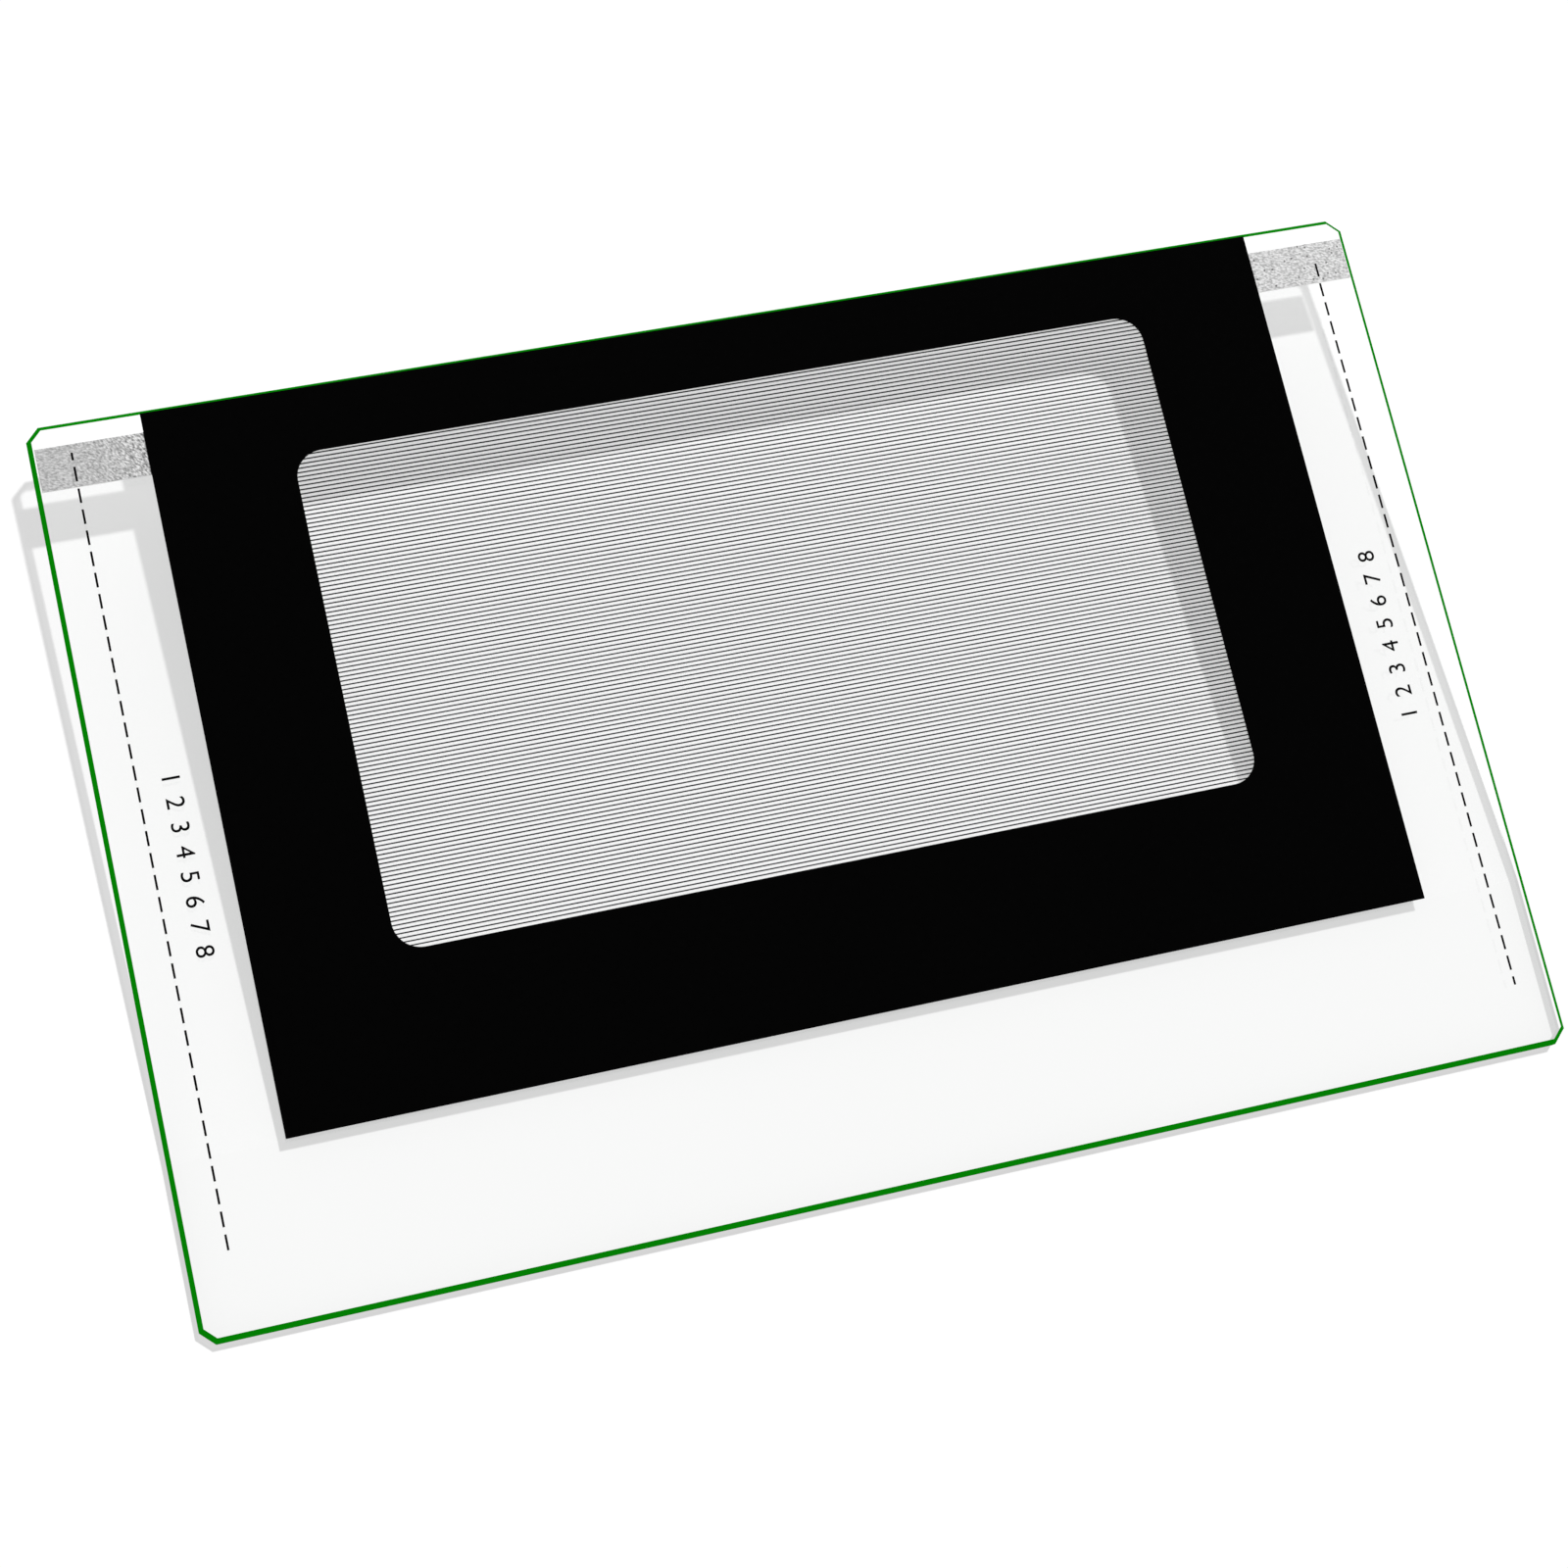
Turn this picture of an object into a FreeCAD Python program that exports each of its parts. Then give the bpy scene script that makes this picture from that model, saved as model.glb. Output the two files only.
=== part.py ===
import FreeCAD, Part
import math
import os

# Glass negative carrier: a clear plate, a mask of black foil that opens on a
# crease, and a ruled film screen that lies on the glass behind its window.
# The origin is at the middle of the plate's underside. +X runs along the
# plate, +Y towards the edge with the crease, +Z up. All sizes are millimetres.

# Loose sheet that the dashed lines place, and the glass left over beyond it
sheet_length = 210.0
sheet_play = 0.25
end_margin = 7.0

# Glass plate
plate_depth = 145.8
plate_thickness = 3.0
corner_cut = 2.2
arris = 0.8

# Window of the mask, and the bands of foil round it
window_width = 143.4
window_depth = 81.9
window_radius = 4.5
side_band = 22.2
near_band = 24.7
far_band = 10.7
crease_web = 1.2
foil_thickness = 0.3

# Grained strip that the mask is stuck to
strip_width = 7.1
strip_lap = 0.5
strip_inset = 0.2
strip_thickness = 0.3

# Film with the ruled lines
film_thickness = 0.18
film_border = 3.5
film_radius = 1.5
film_gap = 0.2
line_pitch = 0.71
line_width = 0.2
line_relief = 0.04
line_margin = 0.4

# Dashed lines, and how far their ends stay from the plate's long edges
dash_width = 0.35
dash_length = 2.4
dash_pitch = 3.5
dash_relief = 0.04
left_near_gap = 13.2
left_far_gap = 5.3
right_near_gap = 10.8
right_far_gap = 7.6

# Places worked out from the sizes above
near_edge = -plate_depth / 2
far_edge = plate_depth / 2
end_x = sheet_length / 2 + end_margin
glass_top = plate_thickness
mask_bottom = glass_top + strip_thickness
mask_far = far_edge - arris
window_far = mask_far - far_band
window_near = window_far - window_depth
crease_y = window_far + crease_web
mask_near = window_near - near_band
mask_half = window_width / 2 + side_band
strip_near = window_far + strip_lap
strip_far = strip_near + strip_width
film_far = strip_near - film_gap
film_near = window_near - film_border
film_half = window_width / 2 + film_border
film_top = glass_top + film_thickness
dash_x = sheet_length / 2 + sheet_play + dash_width / 2


def block(x_low, x_high, y_low, y_high, z_low, height):
    """A straight block between two corners, height thick."""
    corner = FreeCAD.Vector(x_low, y_low, z_low)
    return Part.makeBox(x_high - x_low, y_high - y_low, height, corner)


def rounded_sheet(half_x, y_low, y_high, radius, z_low, height):
    """A sheet with four round corners: straight sides joined by tangent arcs."""
    low_x = radius - half_x
    high_x = half_x - radius
    low_y = y_low + radius
    high_y = y_high - radius
    bend = radius * math.sqrt(0.5)
    corners = (
        (high_x, low_y, 1, -1),
        (high_x, high_y, 1, 1),
        (low_x, high_y, -1, 1),
        (low_x, low_y, -1, -1),
    )
    edges = []
    last = None
    first = None
    for centre_x, centre_y, side_x, side_y in corners:
        on_x = FreeCAD.Vector(centre_x + side_x * radius, centre_y, z_low)
        on_y = FreeCAD.Vector(centre_x, centre_y + side_y * radius, z_low)
        middle = FreeCAD.Vector(centre_x + side_x * bend, centre_y + side_y * bend, z_low)
        start = on_x if side_x == side_y else on_y
        end = on_y if side_x == side_y else on_x
        if last is not None:
            edges.append(Part.LineSegment(last, start).toShape())
        else:
            first = start
        edges.append(Part.Arc(start, middle, end).toShape())
        last = end
    edges.append(Part.LineSegment(last, first).toShape())
    outline = Part.Face(Part.Wire(edges))
    return outline.extrude(FreeCAD.Vector(0, 0, height))


def glass_plate():
    """Float glass with its four corners clipped and a wide ground seam along every edge."""
    outline = []
    for side_x, side_y in ((1, -1), (1, 1), (-1, 1), (-1, -1)):
        along_x = (side_x * (end_x - corner_cut), side_y * far_edge)
        along_y = (side_x * end_x, side_y * (far_edge - corner_cut))
        clipped = (along_x, along_y) if side_x != side_y else (along_y, along_x)
        outline.extend(clipped)
    points = [FreeCAD.Vector(x, y, 0) for x, y in outline]
    points.append(points[0])
    plate = Part.Face(Part.makePolygon(points)).extrude(FreeCAD.Vector(0, 0, plate_thickness))
    rim = [edge for edge in plate.Edges if edge.BoundBox.ZLength < arris]
    return plate.makeChamfer(arris, rim)


def grained_strip():
    """Strip of grained tape from end to end of the plate, under the mask's far band."""
    half = end_x - arris - strip_inset
    return block(-half, half, strip_near, strip_far, glass_top, strip_thickness)


def mask_border():
    """Band of the black foil that stays stuck to the strip and ends where the far seam begins."""
    return block(-mask_half, mask_half, crease_y, mask_far, mask_bottom, foil_thickness)


def mask_panel():
    """The rest of the black foil, which opens on the crease, with its round-cornered window."""
    panel = block(-mask_half, mask_half, mask_near, crease_y, mask_bottom, foil_thickness)
    window = rounded_sheet(window_width / 2, window_near, window_far, window_radius,
                           mask_bottom, foil_thickness)
    return panel.cut(window)


def screen_film():
    """Clear film that butts against the strip and fills the window from behind."""
    return rounded_sheet(film_half, film_near, film_far, film_radius, glass_top, film_thickness)


def screen_lines():
    """Fine lines ruled along the film, at one even pitch over its whole printed field."""
    half = film_half - film_radius
    field_near = film_near + line_margin
    field = film_far - line_margin - field_near
    count = int((field - line_width) / line_pitch) + 1
    first = field_near + (field - line_width - (count - 1) * line_pitch) / 2
    lines = []
    for index in range(count):
        low = first + index * line_pitch
        lines.append(block(-half, half, low, low + line_width, film_top, line_relief))
    return Part.makeCompound(lines)


def dash(centre_x, y_low, y_high):
    """One dash, laid on the strip where it crosses it and on the glass elsewhere."""
    spans = (
        (y_low, min(y_high, strip_near), glass_top),
        (max(y_low, strip_near), min(y_high, strip_far), mask_bottom),
        (max(y_low, strip_far), y_high, glass_top),
    )
    half = dash_width / 2
    pieces = []
    for low, high, base in spans:
        if high - low > dash_relief:
            pieces.append(block(centre_x - half, centre_x + half, low, high, base, dash_relief))
    return pieces


def dashed_line(centre_x, begin, end):
    """Dashes at one pitch from begin to end, where the last one is cut off."""
    step = math.copysign(dash_pitch, end - begin)
    stroke = math.copysign(dash_length, end - begin)
    low_end = min(begin, end)
    high_end = max(begin, end)
    dashes = []
    for index in range(int((high_end - low_end) / dash_pitch) + 1):
        start = begin + index * step
        low = max(min(start, start + stroke), low_end)
        high = min(max(start, start + stroke), high_end)
        dashes.extend(dash(centre_x, low, high))
    return Part.makeCompound(dashes)


pieces = {
    "glass_plate": glass_plate(),
    "grained_strip": grained_strip(),
    "mask_border": mask_border(),
    "mask_panel": mask_panel(),
    "screen_film": screen_film(),
    "screen_lines": screen_lines(),
    "left_dashed_line": dashed_line(-dash_x, near_edge + left_near_gap, far_edge - left_far_gap),
    "right_dashed_line": dashed_line(dash_x, far_edge - right_far_gap, near_edge + right_near_gap),
}

os.makedirs("parts", exist_ok=True)
for name, shape in pieces.items():
    shape.exportStep("parts/" + name + ".step")
    print(name, len(shape.Solids), round(shape.Volume, 3), shape.isValid(), shape.BoundBox)
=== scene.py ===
# Glass negative carrier: the looks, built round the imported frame. Metres, +Z up.
import math

import bmesh
import bpy
from mathutils import Matrix, Quaternion, Vector


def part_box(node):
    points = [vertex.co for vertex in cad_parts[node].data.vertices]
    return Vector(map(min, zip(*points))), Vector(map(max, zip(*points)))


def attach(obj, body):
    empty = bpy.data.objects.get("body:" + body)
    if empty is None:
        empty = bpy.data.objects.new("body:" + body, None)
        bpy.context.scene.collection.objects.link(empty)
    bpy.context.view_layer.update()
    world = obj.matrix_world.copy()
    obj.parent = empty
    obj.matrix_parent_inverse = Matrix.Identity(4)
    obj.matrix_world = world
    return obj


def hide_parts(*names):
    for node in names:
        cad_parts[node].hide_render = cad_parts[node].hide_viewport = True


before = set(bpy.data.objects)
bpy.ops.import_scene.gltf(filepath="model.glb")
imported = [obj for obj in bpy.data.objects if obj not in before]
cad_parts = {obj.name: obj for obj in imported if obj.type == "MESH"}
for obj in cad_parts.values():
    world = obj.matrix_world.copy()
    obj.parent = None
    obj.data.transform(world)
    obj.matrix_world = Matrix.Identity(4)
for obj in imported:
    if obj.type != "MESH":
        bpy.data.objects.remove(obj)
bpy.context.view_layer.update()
scene = bpy.context.scene
scene.view_settings.view_transform = "Standard"
MM = 0.001


# The camera looks down on the carrier from beyond its near left corner and
# is rolled about its own axis, so that the long sides climb to the right.
camera_aim = Vector((-6.12, -6.06, 3.0)) * MM
camera_distance = 501.4 * MM
camera_azimuth = math.radians(-48.85)
camera_elevation = math.radians(73.63)
camera_roll = math.radians(36.70)
camera_lens = 72.18
camera_sensor = 36.0

camera_back = Vector((
    math.sin(camera_azimuth) * math.cos(camera_elevation),
    -math.cos(camera_azimuth) * math.cos(camera_elevation),
    math.sin(camera_elevation),
))
camera = bpy.data.objects.new("camera", bpy.data.cameras.new("camera"))
scene.collection.objects.link(camera)
camera.data.sensor_width = camera_sensor
camera.data.lens = camera_lens
camera.location = camera_aim + camera_back * camera_distance
camera_upright = (-camera_back).to_track_quat("-Z", "Y")
camera.rotation_mode = "QUATERNION"
camera.rotation_quaternion = camera_upright @ Quaternion((0, 0, 1), camera_roll)
scene.camera = camera


# A soft key lamp behind the right end of the carrier throws the shadows
# towards the near left, and an even white surround fills them. Together they
# give a level white surface its full white.
key_slope = (0.32, 0.38)
key_softness = math.radians(3.0)
key_share = 0.75
surround_share = 0.25

key_direction = Vector((key_slope[0], key_slope[1], 1.0))
key = bpy.data.objects.new("key_lamp", bpy.data.lights.new("key_lamp", "SUN"))
scene.collection.objects.link(key)
key.data.angle = key_softness
key.data.energy = key_share * math.pi * key_direction.length
key.rotation_mode = "QUATERNION"
key.rotation_quaternion = key_direction.to_track_quat("Z", "Y")
key.visible_transmission = False


def add(tree, kind, **values):
    """A shader node with its plain settings and the values of its inputs."""
    node = tree.nodes.new(kind)
    for name, value in values.items():
        if hasattr(node, name):
            setattr(node, name, value)
        else:
            node.inputs[name.replace("_", " ")].default_value = value
    return node


def seen_directly(tree):
    """A factor of 1 for what the camera meets straight, in gloss or through glass."""
    path = add(tree, "ShaderNodeLightPath")
    either = add(tree, "ShaderNodeMath", operation="ADD")
    any_of = add(tree, "ShaderNodeMath", operation="ADD", use_clamp=True)
    unscattered = add(tree, "ShaderNodeMath", operation="SUBTRACT", use_clamp=True)
    both = add(tree, "ShaderNodeMath", operation="MULTIPLY")
    unscattered.inputs[0].default_value = 1.0
    tree.links.new(path.outputs["Is Camera Ray"], either.inputs[0])
    tree.links.new(path.outputs["Is Glossy Ray"], either.inputs[1])
    tree.links.new(either.outputs[0], any_of.inputs[0])
    tree.links.new(path.outputs["Is Transmission Ray"], any_of.inputs[1])
    tree.links.new(path.outputs["Diffuse Depth"], unscattered.inputs[1])
    tree.links.new(any_of.outputs[0], both.inputs[0])
    tree.links.new(unscattered.outputs[0], both.inputs[1])
    return both.outputs[0]


surround = bpy.data.worlds.new("surround")
scene.world = surround
surround.use_nodes = True
tree = surround.node_tree
tree.nodes.clear()
lit = add(tree, "ShaderNodeBackground", Color=(1, 1, 1, 1), Strength=surround_share)
seen = add(tree, "ShaderNodeBackground", Color=(1, 1, 1, 1), Strength=1.0)
choose = add(tree, "ShaderNodeMixShader")
sky = add(tree, "ShaderNodeOutputWorld")
tree.links.new(seen_directly(tree), choose.inputs[0])
tree.links.new(lit.outputs[0], choose.inputs[1])
tree.links.new(seen.outputs[0], choose.inputs[2])
tree.links.new(choose.outputs[0], sky.inputs["Surface"])


# The floor is plain and pale. The plate rests on it as far in as the mask's
# near side, from where it falls away gently to a lower level behind the plate.
floor_reach = 6.0
floor_drop = 10.6 * MM
floor_air = 0.1 * MM
floor_run_out = 30.0 * MM
floor_colour = (0.45, 0.45, 0.45, 1)
floor_glow = 0.58

plate_low, plate_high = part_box("glass_plate")
ramp_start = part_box("mask_panel")[0].y
fall = floor_drop / (plate_high.y - ramp_start)
ramp_end = plate_high.y + floor_run_out
ramp_low = -floor_air - fall * (ramp_end - ramp_start)
profile = (
    (-floor_reach, -floor_air),
    (ramp_start, -floor_air),
    (ramp_end, ramp_low),
    (floor_reach, ramp_low),
)
mesh = bpy.data.meshes.new("floor")
shape = bmesh.new()
rows = [[shape.verts.new((side * floor_reach, y, z)) for side in (-1, 1)] for y, z in profile]
for row, beyond in zip(rows, rows[1:]):
    shape.faces.new((row[0], row[1], beyond[1], beyond[0]))
shape.to_mesh(mesh)
shape.free()
floor = bpy.data.objects.new("floor", mesh)
scene.collection.objects.link(floor)

paper = bpy.data.materials.new("pale_floor")
paper.use_nodes = True
tree = paper.node_tree
tree.nodes.clear()
matt = add(tree, "ShaderNodeBsdfDiffuse", Color=floor_colour)
glow = add(tree, "ShaderNodeEmission", Color=(1, 1, 1, 1), Strength=floor_glow)
both = add(tree, "ShaderNodeAddShader")
choose = add(tree, "ShaderNodeMixShader")
out = add(tree, "ShaderNodeOutputMaterial")
tree.links.new(matt.outputs[0], both.inputs[0])
tree.links.new(glow.outputs[0], both.inputs[1])
tree.links.new(seen_directly(tree), choose.inputs[0])
tree.links.new(matt.outputs[0], choose.inputs[1])
tree.links.new(both.outputs[0], choose.inputs[2])
tree.links.new(choose.outputs[0], out.inputs["Surface"])
mesh.materials.append(paper)


# The plate is one sheet of 3 mm float glass with clipped corners. Its faces
# are clear, and its ground edge and wide seams are a strong green with a painted green glow, which
# stands in for the light the glass carries to its edges.
corner_cut = 2.2 * MM
seam = 0.8 * MM
glass_tint = (0.995, 1.0, 0.996, 1)
glass_shade = (0.9, 0.9, 0.9, 1)
glass_bend = 1.5
glass_polish = {"scale": 60.0, "low": 0.0, "high": 0.01}
edge_colour = (0.0008, 0.085, 0.0008, 1)
edge_painted_glow = (0.0006, 0.15, 0.0006, 1)
edge_shade = (0.1, 0.1, 0.1, 1)
edge_grinding = {"scale": 2500.0, "low": 0.4, "high": 0.6}


def plate_outline(inset):
    """The clipped outline of the plate, moved inwards by inset on all eight sides."""
    half_x = plate_high.x - inset
    half_y = plate_high.y - inset
    cut = corner_cut - inset * (2 - math.sqrt(2))
    quarter = ((half_x, half_y - cut), (half_x - cut, half_y))
    points = []
    for side_x, side_y in ((1, 1), (-1, 1), (-1, -1), (1, -1)):
        corner = [(side_x * x, side_y * y) for x, y in quarter]
        points.extend(corner if side_x == side_y else reversed(corner))
    return points


def mottle_group():
    """A cloudy pattern on the piece itself: a value between two limits, and its raw height."""
    group = bpy.data.node_groups.new("mottle", "ShaderNodeTree")
    for name, start in (("Scale", 500.0), ("Low", 0.0), ("High", 1.0)):
        entry = group.interface.new_socket(name=name, in_out="INPUT", socket_type="NodeSocketFloat")
        entry.default_value = start
    for name in ("Value", "Height"):
        group.interface.new_socket(name=name, in_out="OUTPUT", socket_type="NodeSocketFloat")
    given = add(group, "NodeGroupInput")
    place = add(group, "ShaderNodeTexCoord")
    cloud = add(group, "ShaderNodeTexNoise", Detail=3.0, Roughness=0.55)
    spread = add(group, "ShaderNodeMapRange")
    result = add(group, "NodeGroupOutput")
    group.links.new(place.outputs["Object"], cloud.inputs["Vector"])
    group.links.new(given.outputs["Scale"], cloud.inputs["Scale"])
    group.links.new(cloud.outputs[0], spread.inputs["Value"])
    group.links.new(given.outputs["Low"], spread.inputs["To Min"])
    group.links.new(given.outputs["High"], spread.inputs["To Max"])
    group.links.new(spread.outputs[0], result.inputs["Value"])
    group.links.new(cloud.outputs[0], result.inputs["Height"])
    return group


mottle = mottle_group()


def mottled(tree, scale, low, high):
    """The mottle pattern placed in one finish, at its own scale and between its own limits."""
    node = add(tree, "ShaderNodeGroup", node_tree=mottle)
    node.inputs["Scale"].default_value = scale
    node.inputs["Low"].default_value = low
    node.inputs["High"].default_value = high
    return node


def new_finish(name):
    """An empty material, ready for its shaders."""
    material = bpy.data.materials.new(name)
    material.use_nodes = True
    material.node_tree.nodes.clear()
    return material, material.node_tree


def let_light_through(tree, look, shade):
    """Ends a finish: look is what shows, and the light of the room passes it, tinted by shade."""
    path = add(tree, "ShaderNodeLightPath")
    passing = add(tree, "ShaderNodeBsdfTransparent", Color=shade)
    out = add(tree, "ShaderNodeOutputMaterial")
    for kind in ("Is Diffuse Ray", "Is Shadow Ray"):
        choose = add(tree, "ShaderNodeMixShader")
        tree.links.new(path.outputs[kind], choose.inputs[0])
        tree.links.new(look.outputs[0], choose.inputs[1])
        tree.links.new(passing.outputs[0], choose.inputs[2])
        look = choose
    tree.links.new(look.outputs[0], out.inputs["Surface"])


mesh = bpy.data.meshes.new("float_glass_plate")
shape = bmesh.new()
levels = (
    (plate_low.z, seam),
    (plate_low.z + seam, 0.0),
    (plate_high.z - seam, 0.0),
    (plate_high.z, seam),
)
rings = [[shape.verts.new((x, y, z)) for x, y in plate_outline(inset)] for z, inset in levels]
for lower, upper in zip(rings, rings[1:]):
    for here in range(len(lower)):
        after = (here + 1) % len(lower)
        side = shape.faces.new((lower[here], lower[after], upper[after], upper[here]))
        side.material_index = 1
shape.faces.new(rings[-1])
shape.faces.new(tuple(reversed(rings[0])))
shape.to_mesh(mesh)
shape.free()
plate = bpy.data.objects.new("float_glass_plate", mesh)
scene.collection.objects.link(plate)

clear_glass, tree = new_finish("clear_float_glass")
glass = add(tree, "ShaderNodeBsdfPrincipled", Base_Color=glass_tint, IOR=glass_bend)
glass.inputs["Transmission Weight"].default_value = 1.0
polish = mottled(tree, **glass_polish)
tree.links.new(polish.outputs["Value"], glass.inputs["Roughness"])
let_light_through(tree, glass, glass_shade)
mesh.materials.append(clear_glass)

green_edge, tree = new_finish("green_glass_edge")
ground = add(tree, "ShaderNodeBsdfPrincipled", Base_Color=edge_colour)
ground.inputs["Specular IOR Level"].default_value = 0.0
# The edge glows green by a painted glow, not by any lamp.
ground.inputs["Emission Color"].default_value = edge_painted_glow
ground.inputs["Emission Strength"].default_value = 1.0
grinding = mottled(tree, **edge_grinding)
inside = add(tree, "ShaderNodeBsdfTransparent", Color=(1, 1, 1, 1))
met_from = add(tree, "ShaderNodeNewGeometry")
look = add(tree, "ShaderNodeMixShader")
tree.links.new(grinding.outputs["Value"], ground.inputs["Roughness"])
tree.links.new(met_from.outputs["Backfacing"], look.inputs[0])
tree.links.new(ground.outputs[0], look.inputs[1])
tree.links.new(inside.outputs[0], look.inputs[2])
let_light_through(tree, look, edge_shade)
mesh.materials.append(green_edge)

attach(plate, "plate")
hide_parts("glass_plate")


# The grained strip is thin grey tape with an embossed leather grain, stuck to
# the glass under the mask's far band. The grain turns aslant towards the mask
# at the left, and the right end has dark pits. The grain's height also paints
# shade into its valleys and light onto its ridges, more strongly towards the
# mask. Its cut edges are painted pale and given a painted glow, in place of
# the shade that falls on them.
tape_grey_left = 0.50
tape_grey_right = 0.63
tape_roughness = 0.75
tape_shine = 0.15
tape_lie = math.radians(-16.0)
tape_slant = math.radians(-50.0)
tape_join = 1.0 * MM
tape_grain_scale = 1900.0
tape_grain_squeeze = 2.0
tape_grain_detail = 1.5
tape_grain_fineness = 0.6
tape_grain_spread = 0.16
tape_depth_left = 0.28
tape_depth_mask = 0.7
tape_depth_right = 0.36
tape_emboss_strength = 0.25
tape_emboss_height = 0.05 * MM
tape_cut_painted_pale = 0.95
tape_cut_painted_glow = 0.4
tape_steepest = 0.4
tape_flattest = 0.6
tape_pit_scale = 700.0
tape_pit_size = 0.16
tape_pit_share = 0.32
tape_pit_dark = 0.75


def dress(node, material):
    """Gives a node of the frame its finish."""
    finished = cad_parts[node]
    finished.data.materials.clear()
    finished.data.materials.append(material)


def between(tree, value, low, high, to_low, to_high):
    """A value that goes evenly from to_low to to_high while the given one goes from low to high."""
    climb = add(tree, "ShaderNodeMapRange", From_Min=low, From_Max=high, To_Min=to_low, To_Max=to_high)
    tree.links.new(value, climb.inputs["Value"])
    return climb.outputs[0]


def reckon(tree, operation, first, second):
    """One sum of two values, each of them a socket or a plain number."""
    node = add(tree, "ShaderNodeMath", operation=operation)
    for entry, given in zip(node.inputs, (first, second)):
        if isinstance(given, (int, float)):
            entry.default_value = given
        else:
            tree.links.new(given, entry)
    return node.outputs[0]


def grain(tree, place, turn):
    """Embossed grain that is drawn out along the direction given by turn."""
    laid = add(tree, "ShaderNodeMapping", vector_type="TEXTURE")
    laid.inputs["Rotation"].default_value = (0, 0, turn)
    laid.inputs["Scale"].default_value = (1, 1 / tape_grain_squeeze, 1)
    cells = add(tree, "ShaderNodeTexNoise", Scale=tape_grain_scale)
    cells.inputs["Detail"].default_value = tape_grain_detail
    cells.inputs["Roughness"].default_value = tape_grain_fineness
    tree.links.new(place, laid.inputs["Vector"])
    tree.links.new(laid.outputs[0], cells.inputs["Vector"])
    return cells.outputs[0]


tape, tree = new_finish("grained_tape")
skin = add(tree, "ShaderNodeBsdfPrincipled", Roughness=tape_roughness)
skin.inputs["Specular IOR Level"].default_value = tape_shine
out = add(tree, "ShaderNodeOutputMaterial")
place = add(tree, "ShaderNodeTexCoord").outputs["Object"]
apart = add(tree, "ShaderNodeSeparateXYZ")
tree.links.new(place, apart.inputs[0])
along = apart.outputs["X"]
mask_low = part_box("mask_border")[0]
right_end = between(tree, along, 0.0, tape_join, 0.0, 1.0)
towards_mask = between(tree, along, plate_low.x, mask_low.x, 0.0, 1.0)
aslant = reckon(tree, "SUBTRACT", towards_mask, right_end)
height = add(tree, "ShaderNodeMix", data_type="FLOAT")
tree.links.new(aslant, height.inputs[0])
tree.links.new(grain(tree, place, tape_lie), height.inputs[2])
tree.links.new(grain(tree, place, tape_slant), height.inputs[3])
valley = 0.5 - tape_grain_spread
ridge = 0.5 + tape_grain_spread
relief = between(tree, height.outputs[0], valley, ridge, -1.0, 1.0)
depth = between(tree, along, plate_low.x, mask_low.x, tape_depth_left, tape_depth_mask)
shallower = reckon(tree, "MULTIPLY", right_end, tape_depth_mask - tape_depth_right)
relief = reckon(tree, "MULTIPLY", relief, reckon(tree, "SUBTRACT", depth, shallower))
# The grain's height darkens the colour in its valleys and lightens it on its ridges: painted shade and
# painted light.
relief_painted_shade = reckon(tree, "ADD", relief, 1.0)
grey = between(tree, along, plate_low.x, plate_high.x, tape_grey_left, tape_grey_right)
pits = add(tree, "ShaderNodeTexVoronoi", Scale=tape_pit_scale, voronoi_dimensions="2D")
tree.links.new(place, pits.inputs["Vector"])
few = add(tree, "ShaderNodeSeparateColor")
tree.links.new(pits.outputs["Color"], few.inputs[0])
chosen = reckon(tree, "LESS_THAN", few.outputs[0], tape_pit_share)
pit = between(tree, pits.outputs["Distance"], tape_pit_size * 0.5, tape_pit_size, 1.0, 0.0)
pit = reckon(tree, "MULTIPLY", pit, reckon(tree, "MULTIPLY", chosen, right_end))
kept = reckon(tree, "SUBTRACT", 1.0, reckon(tree, "MULTIPLY", pit, tape_pit_dark))
face = reckon(tree, "MULTIPLY", reckon(tree, "MULTIPLY", grey, relief_painted_shade), kept)
facing = add(tree, "ShaderNodeSeparateXYZ")
tree.links.new(add(tree, "ShaderNodeNewGeometry").outputs["True Normal"], facing.inputs[0])
on_top = between(tree, facing.outputs["Z"], tape_steepest, tape_flattest, 0.0, 1.0)
# The cut edges get a pale painted colour in place of the shade that falls on them.
shade = add(tree, "ShaderNodeMix", data_type="FLOAT")
shade.inputs[2].default_value = tape_cut_painted_pale
tree.links.new(on_top, shade.inputs[0])
tree.links.new(face, shade.inputs[3])
colour = add(tree, "ShaderNodeCombineColor")
for entry in colour.inputs:
    tree.links.new(shade.outputs[0], entry)
# The cut edges also get a painted glow, though they are no lamp.
cut_side = reckon(tree, "SUBTRACT", 1.0, on_top)
cut_painted_glow = add(tree, "ShaderNodeCombineColor")
for entry in cut_painted_glow.inputs:
    tree.links.new(cut_side, entry)
skin.inputs["Emission Strength"].default_value = tape_cut_painted_glow
tree.links.new(cut_painted_glow.outputs[0], skin.inputs["Emission Color"])
emboss = add(tree, "ShaderNodeBump", Strength=tape_emboss_strength, Distance=tape_emboss_height)
tree.links.new(relief, emboss.inputs["Height"])
tree.links.new(emboss.outputs[0], skin.inputs["Normal"])
tree.links.new(colour.outputs[0], skin.inputs["Base Color"])
tree.links.new(skin.outputs[0], out.inputs["Surface"])
dress("grained_strip", tape)


# The mask is one sheet of dead matt black foil, cut square at its corners.
# Its far band is stuck to the strip, and the panel opens on the crease.
foil_black = (0.0008, 0.0008, 0.0008, 1)
foil_shine = 0.01
foil_coat = {"scale": 900.0, "low": 0.75, "high": 0.95}
foil_tooth_strength = 0.1
foil_tooth_height = 0.02 * MM

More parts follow.
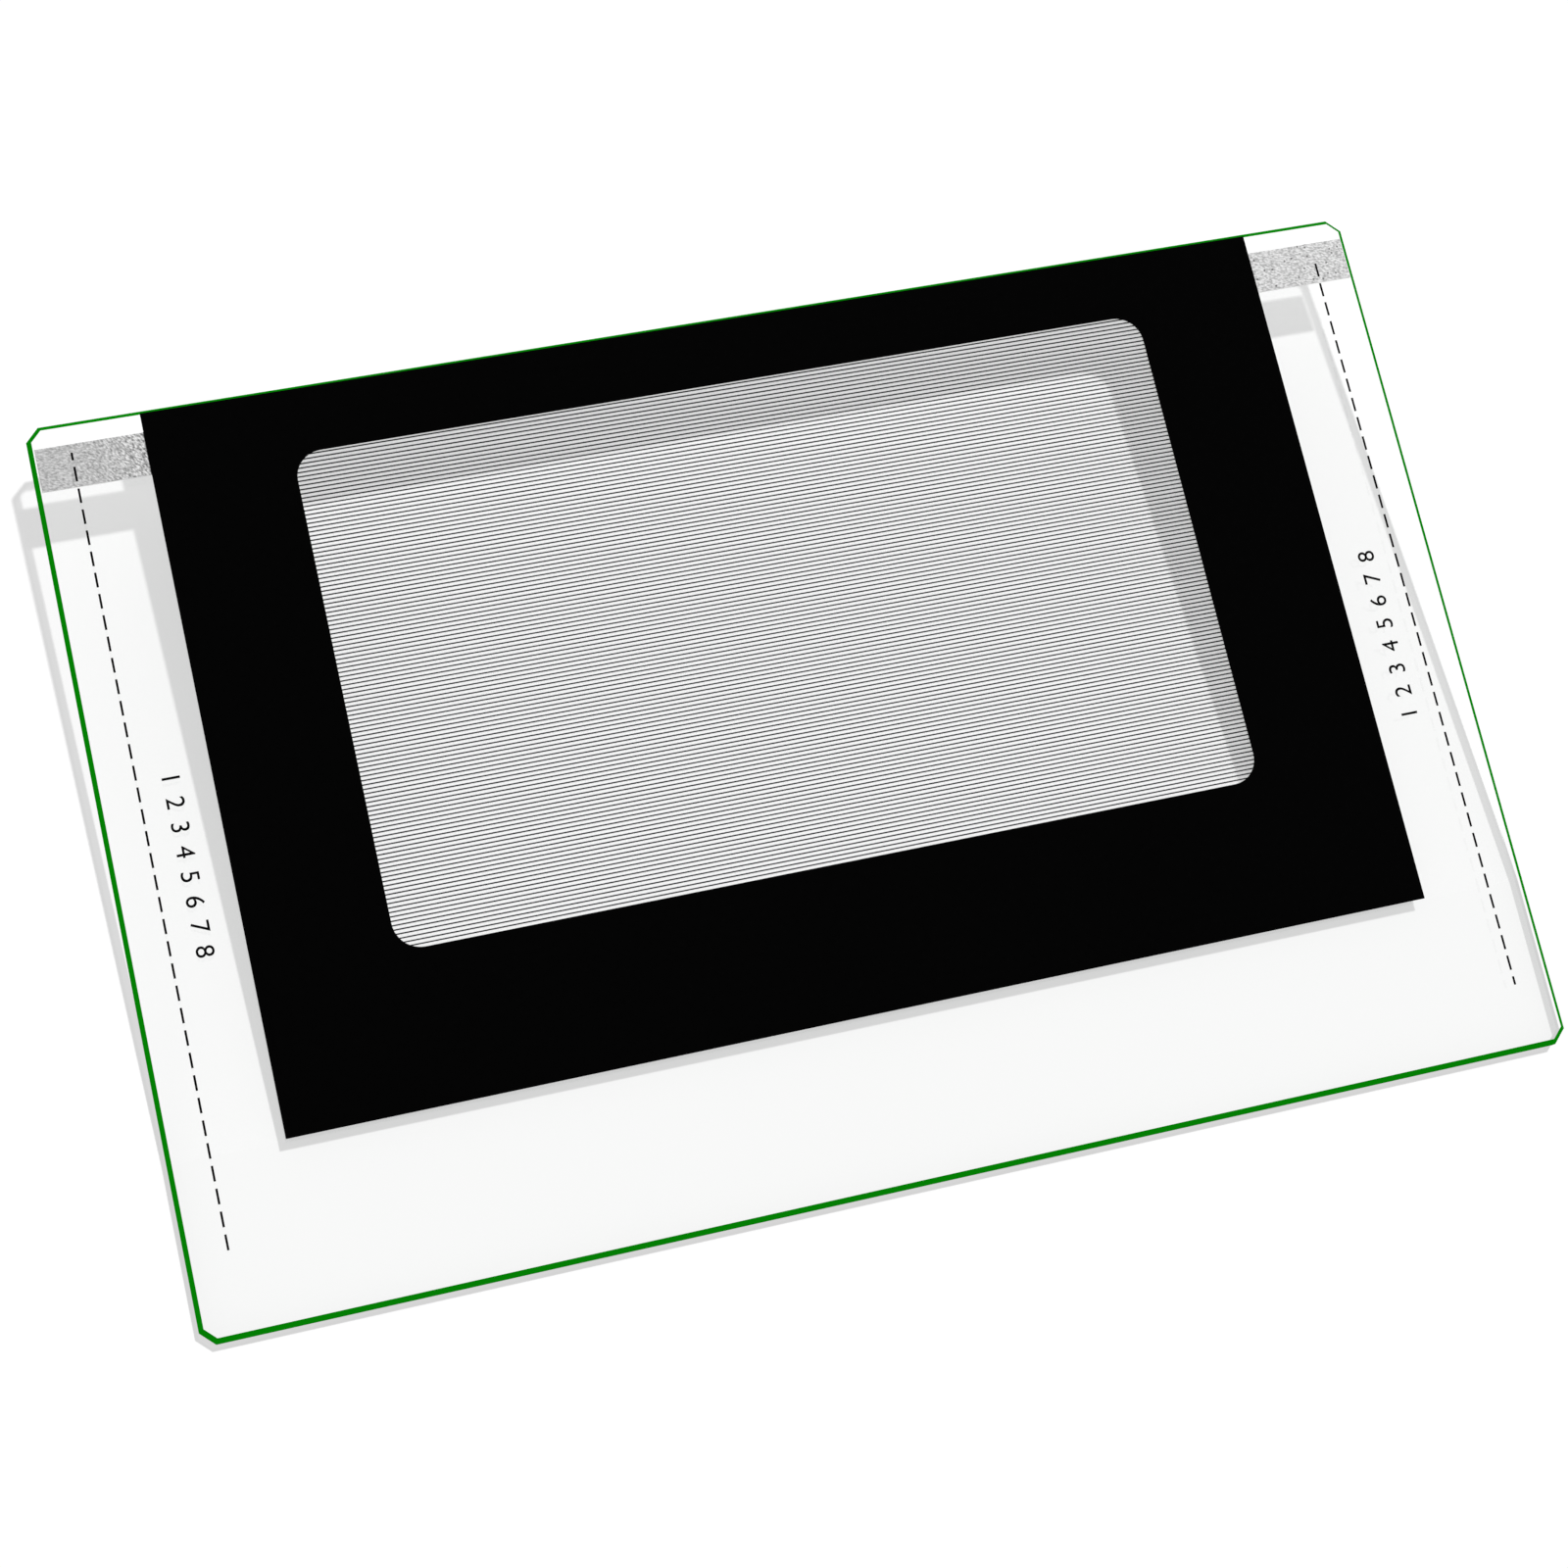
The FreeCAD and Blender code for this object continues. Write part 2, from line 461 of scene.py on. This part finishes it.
foil, tree = new_finish("matt_black_foil")
skin = add(tree, "ShaderNodeBsdfPrincipled", Base_Color=foil_black)
skin.inputs["Specular IOR Level"].default_value = foil_shine
out = add(tree, "ShaderNodeOutputMaterial")
coat = mottled(tree, **foil_coat)
tooth = add(tree, "ShaderNodeBump", Strength=foil_tooth_strength, Distance=foil_tooth_height)
tree.links.new(coat.outputs["Value"], skin.inputs["Roughness"])
tree.links.new(coat.outputs["Height"], tooth.inputs["Height"])
tree.links.new(tooth.outputs[0], skin.inputs["Normal"])
tree.links.new(skin.outputs[0], out.inputs["Surface"])
for node in ("mask_border", "mask_panel"):
    dress(node, foil)


# The screen is thin clear film with rounded corners. It lies on the glass
# behind the window and butts against the strip; air keeps it off the glass.
film_air = 0.02 * MM
film_radius = 1.5 * MM
film_corner_steps = 8
film_bend = 1.3
film_tint = (0.955, 0.955, 0.955, 1)
film_shade = (1, 1, 1, 1)
film_gloss = {"scale": 90.0, "low": 0.0, "high": 0.01}

film_low, film_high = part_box("screen_film")
centre_x = film_high.x - film_radius
middle_y = (film_low.y + film_high.y) / 2
centre_y = film_high.y - middle_y - film_radius
outline = []
for quarter, (side_x, side_y) in enumerate(((1, 1), (-1, 1), (-1, -1), (1, -1))):
    for step in range(film_corner_steps + 1):
        angle = (quarter + step / film_corner_steps) * math.pi / 2
        outline.append((
            side_x * centre_x + film_radius * math.cos(angle),
            middle_y + side_y * centre_y + film_radius * math.sin(angle),
        ))
mesh = bpy.data.meshes.new("clear_screen_film")
shape = bmesh.new()
under = [shape.verts.new((x, y, film_low.z + film_air)) for x, y in outline]
over = [shape.verts.new((x, y, film_high.z)) for x, y in outline]
for here in range(len(outline)):
    after = (here + 1) % len(outline)
    shape.faces.new((under[here], under[after], over[after], over[here]))
shape.faces.new(over)
shape.faces.new(tuple(reversed(under)))
shape.to_mesh(mesh)
shape.free()
film = bpy.data.objects.new("clear_screen_film", mesh)
scene.collection.objects.link(film)

clear_film, tree = new_finish("clear_film")
sheet = add(tree, "ShaderNodeBsdfPrincipled", Base_Color=film_tint, IOR=film_bend)
sheet.inputs["Transmission Weight"].default_value = 1.0
gloss = mottled(tree, **film_gloss)
tree.links.new(gloss.outputs["Value"], sheet.inputs["Roughness"])
let_light_through(tree, sheet, film_shade)
mesh.materials.append(clear_film)
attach(film, "plate")
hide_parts("screen_film")


# The ruled lines of the screen and the two dashed lines are black printing
# ink, raised by a few hundredths of a millimetre. So thin a line throws no
# shadow that shows on the floor.
ink_black = (0.0015, 0.0015, 0.0015, 1)
ink_shine = 0.01
ink_shade = (1, 1, 1, 1)
ink_drying = {"scale": 3000.0, "low": 0.55, "high": 0.75}

ink, tree = new_finish("black_ink")
body = add(tree, "ShaderNodeBsdfPrincipled", Base_Color=ink_black)
body.inputs["Specular IOR Level"].default_value = ink_shine
drying = mottled(tree, **ink_drying)
tree.links.new(drying.outputs["Value"], body.inputs["Roughness"])
let_light_through(tree, body, ink_shade)
for node in ("screen_lines", "left_dashed_line", "right_dashed_line"):
    dress(node, ink)


# Plain numbers in the same ink stand beside each dashed line. They read
# along the line, with their tops towards the mask.
number_last = 8
number_pitch = 3.95 * MM
number_height = 3.0 * MM
number_foot = 101.6 * MM
number_middle = -0.65 * MM
number_relief = 0.04 * MM
number_curve_steps = 6
number_merge = 0.001 * MM
capital_share = 0.73


def number_mesh(figure):
    """One figure as a closed solid of ink, its foot on the X axis and centred on the Y axis."""
    curve = bpy.data.curves.new("figure", "FONT")
    curve.body = str(figure)
    curve.align_x = "CENTER"
    curve.size = number_height / capital_share
    curve.extrude = number_relief / 2
    curve.resolution_u = number_curve_steps
    holder = bpy.data.objects.new("figure", curve)
    scene.collection.objects.link(holder)
    bpy.context.view_layer.update()
    ready = holder.evaluated_get(bpy.context.evaluated_depsgraph_get())
    solid = bpy.data.meshes.new_from_object(ready)
    bpy.data.objects.remove(holder)
    return solid


for name, side in (("left_number_scale", -1), ("right_number_scale", 1)):
    shape = bmesh.new()
    turned = Matrix.Rotation(side * math.pi / 2, 4, "Z")
    for figure in range(1, number_last + 1):
        solid = number_mesh(figure)
        along_line = (figure - (number_last + 1) / 2) * number_pitch
        placed = Matrix.Translation((
            side * number_foot,
            number_middle + side * along_line,
            plate_high.z + number_relief / 2,
        ))
        solid.transform(placed @ turned)
        shape.from_mesh(solid)
        bpy.data.meshes.remove(solid)
    bmesh.ops.remove_doubles(shape, verts=shape.verts, dist=number_merge)
    bmesh.ops.recalc_face_normals(shape, faces=shape.faces)
    mesh = bpy.data.meshes.new(name)
    shape.to_mesh(mesh)
    shape.free()
    mesh.materials.clear()
    mesh.materials.append(ink)
    numbers = bpy.data.objects.new(name, mesh)
    scene.collection.objects.link(numbers)
    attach(numbers, "plate")
